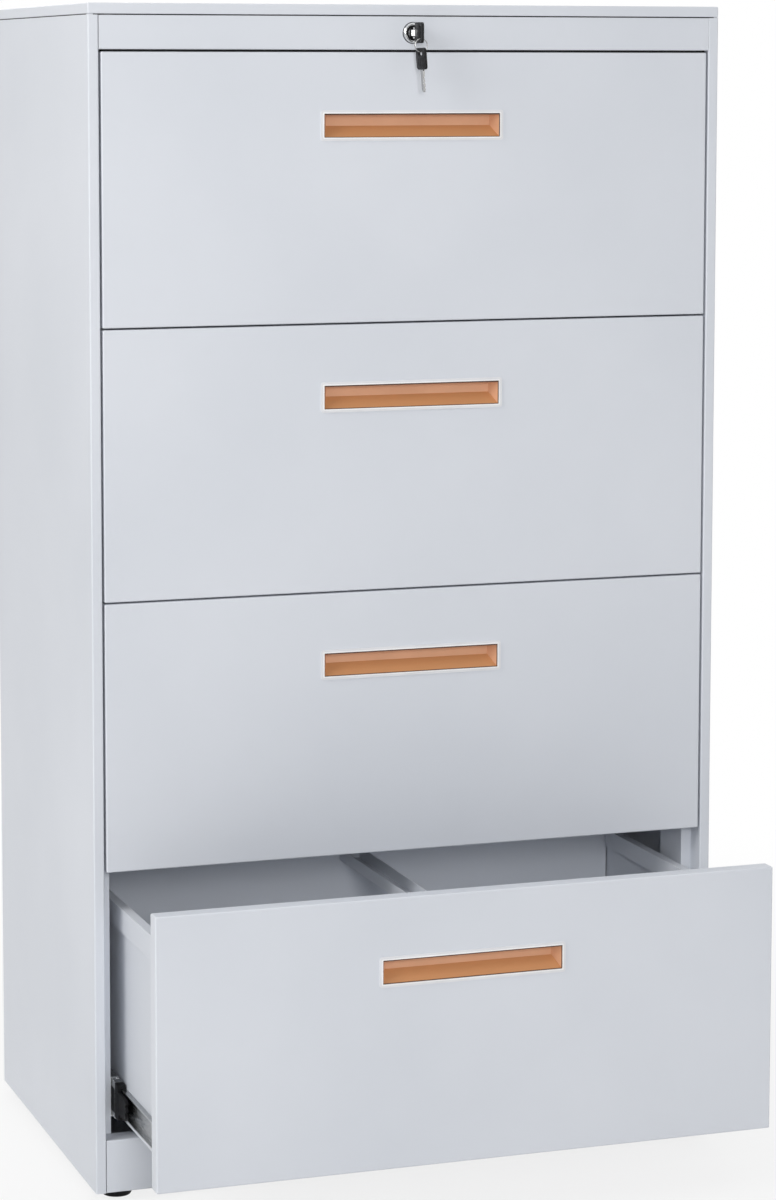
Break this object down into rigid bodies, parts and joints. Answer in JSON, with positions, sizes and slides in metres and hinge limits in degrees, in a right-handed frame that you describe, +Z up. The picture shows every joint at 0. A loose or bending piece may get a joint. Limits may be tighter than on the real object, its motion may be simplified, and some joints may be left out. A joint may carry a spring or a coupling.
{
  "type": "lateral filing cabinet",
  "caption": "Wide steel filing cabinet with full-width drawers on ball-bearing slides, recessed two-tone pulls, a cam lock with keys and levelling feet.",
  "frame": {"origin": "on the floor, at the middle of the whole object's box with the bottom drawer pulled out as in the picture", "axes": "+X to the right seen from the front, +Y from the drawer fronts to the back, +Z up"},
  "size_m": [0.745, 0.6582, 1.333],
  "materials": {
    "powder_coat": "satin powder coat, light blue grey",
    "frame_plastic": "white moulded plastic",
    "cup_plastic": "copper orange moulded plastic",
    "zinc_steel": "bright zinc plate",
    "chrome": "polished chrome plate",
    "black_plastic": "black moulded plastic",
    "key_steel": "nickel plated steel"
  },
  "bodies": {
    "cabinet": {"left_side_panel": "powder_coat", "right_side_panel": "powder_coat", "back_panel": "powder_coat", "top_panel": "powder_coat", "bottom_panel": "powder_coat", "lock_rail": "powder_coat", "plinth_rail": "powder_coat", "left_slide_posts": "powder_coat", "right_slide_posts": "powder_coat", "left_slide_channels": "zinc_steel", "right_slide_channels": "zinc_steel", "lock_housing": "chrome", "lock_nut": "zinc_steel", "panel_screws": "zinc_steel", "foot_nuts": "zinc_steel"},
    "drawer_1": {"drawer_1_front": "powder_coat", "drawer_1_tray": "powder_coat", "drawer_1_tray_back": "powder_coat", "drawer_1_hanging_rails": "powder_coat", "drawer_1_pull_frame": "frame_plastic", "drawer_1_pull_cup": "cup_plastic", "drawer_1_inner_slides": "zinc_steel"},
    "drawer_1_mid": {"drawer_1_mid_slides": "zinc_steel"},
    "drawer_2": {"drawer_2_front": "powder_coat", "drawer_2_tray": "powder_coat", "drawer_2_tray_back": "powder_coat", "drawer_2_hanging_rails": "powder_coat", "drawer_2_pull_frame": "frame_plastic", "drawer_2_pull_cup": "cup_plastic", "drawer_2_inner_slides": "zinc_steel"},
    "drawer_2_mid": {"drawer_2_mid_slides": "zinc_steel"},
    "drawer_3": {"drawer_3_front": "powder_coat", "drawer_3_tray": "powder_coat", "drawer_3_tray_back": "powder_coat", "drawer_3_hanging_rails": "powder_coat", "drawer_3_pull_frame": "frame_plastic", "drawer_3_pull_cup": "cup_plastic", "drawer_3_inner_slides": "zinc_steel"},
    "drawer_3_mid": {"drawer_3_mid_slides": "zinc_steel"},
    "drawer_4": {"drawer_4_front": "powder_coat", "drawer_4_tray": "powder_coat", "drawer_4_tray_back": "powder_coat", "drawer_4_hanging_rails": "powder_coat", "drawer_4_pull_frame": "frame_plastic", "drawer_4_pull_cup": "cup_plastic", "drawer_4_inner_slides": "zinc_steel"},
    "drawer_4_mid": {"drawer_4_mid_slides": "zinc_steel"},
    "lock_core": {"lock_plug": "chrome", "lock_cam": "zinc_steel"},
    "key": {"key_blade": "key_steel", "key_bow": "black_plastic"},
    "ring": {"key_ring": "key_steel"},
    "spare_key": {"spare_key_bow": "black_plastic", "spare_key_blade": "key_steel"},
    "transfer": {"transfer_bar": "zinc_steel"},
    "bolt": {"locking_bar": "zinc_steel"},
    "front_left_leveller": {"front_left_foot": "black_plastic"},
    "front_right_leveller": {"front_right_foot": "black_plastic"},
    "rear_left_leveller": {"rear_left_foot": "black_plastic"},
    "rear_right_leveller": {"rear_right_foot": "black_plastic"}
  },
  "joints": [
    {"name": "drawer_1_slide", "type": "slide", "parent": "cabinet", "child": "drawer_1", "axis": [0, -1, 0], "range_m": [0, 0.385], "deforming": ["key_ring", "spare_key_bow", "spare_key_blade"]},
    {"name": "drawer_1_mid_slide", "type": "slide", "parent": "cabinet", "child": "drawer_1_mid", "axis": [0, -1, 0], "range_m": [-0.0005, 0.193]},
    {"name": "drawer_2_slide", "type": "slide", "parent": "cabinet", "child": "drawer_2", "axis": [0, -1, 0], "range_m": [0, 0.385]},
    {"name": "drawer_2_mid_slide", "type": "slide", "parent": "cabinet", "child": "drawer_2_mid", "axis": [0, -1, 0], "range_m": [-0.0005, 0.193]},
    {"name": "drawer_3_slide", "type": "slide", "parent": "cabinet", "child": "drawer_3", "axis": [0, -1, 0], "range_m": [0, 0.385]},
    {"name": "drawer_3_mid_slide", "type": "slide", "parent": "cabinet", "child": "drawer_3_mid", "axis": [0, -1, 0], "range_m": [-0.0005, 0.193]},
    {"name": "drawer_4_slide", "type": "slide", "parent": "cabinet", "child": "drawer_4", "axis": [0, -1, 0], "range_m": [-0.2, 0.185]},
    {"name": "drawer_4_mid_slide", "type": "slide", "parent": "cabinet", "child": "drawer_4_mid", "axis": [0, -1, 0], "range_m": [-0.1005, 0.093]},
    {"name": "lock_turn", "type": "hinge", "parent": "cabinet", "child": "lock_core", "pos_m": [0, -0.1279, 1.3018], "axis": [0, 1, 0], "range_deg": [-1, 91]},
    {"name": "key_withdraw", "type": "slide", "parent": "lock_core", "child": "key", "axis": [0, -1, 0], "range_m": [0, 0.026]},
    {"name": "key_ring_hang", "type": "hinge", "parent": "key", "child": "ring", "pos_m": [0, -0.1549, 1.2925], "axis": [0, 1, 0], "range_deg": [-91, 1]},
    {"name": "spare_key_swing", "type": "hinge", "parent": "ring", "child": "spare_key", "pos_m": [0, -0.1549, 1.28045], "axis": [1, 0, 0], "range_deg": [-40, 12]},
    {"name": "transfer_bar_slide", "type": "slide", "parent": "cabinet", "child": "transfer", "axis": [1, 0, 0], "range_m": [-0.0005, 0.0085]},
    {"name": "locking_bar_drop", "type": "slide", "parent": "cabinet", "child": "bolt", "axis": [0, 0, -1], "range_m": [0, 0.008]},
    {"name": "front_left_foot_turn", "type": "hinge", "parent": "cabinet", "child": "front_left_leveller", "pos_m": [-0.3405, -0.0949, 0], "axis": [0, 0, 1], "continuous": true},
    {"name": "front_right_foot_turn", "type": "hinge", "parent": "cabinet", "child": "front_right_leveller", "pos_m": [0.3405, -0.0949, 0], "axis": [0, 0, 1], "continuous": true},
    {"name": "rear_left_foot_turn", "type": "hinge", "parent": "cabinet", "child": "rear_left_leveller", "pos_m": [-0.3405, 0.2961, 0], "axis": [0, 0, 1], "continuous": true},
    {"name": "rear_right_foot_turn", "type": "hinge", "parent": "cabinet", "child": "rear_right_leveller", "pos_m": [0.3405, 0.2961, 0], "axis": [0, 0, 1], "continuous": true}
  ],
  "couplings": [
    {"joint": "drawer_1_mid_slide", "follows": "drawer_1_slide", "ratio": 0.5},
    {"joint": "drawer_2_mid_slide", "follows": "drawer_2_slide", "ratio": 0.5},
    {"joint": "drawer_3_mid_slide", "follows": "drawer_3_slide", "ratio": 0.5},
    {"joint": "drawer_4_mid_slide", "follows": "drawer_4_slide", "ratio": 0.5},
    {"joint": "lock_turn", "follows": "locking_bar_drop", "rad_per_m": 196.35},
    {"joint": "key_ring_hang", "follows": "locking_bar_drop", "rad_per_m": -196.35},
    {"joint": "transfer_bar_slide", "follows": "locking_bar_drop", "ratio": 1}
  ]
}
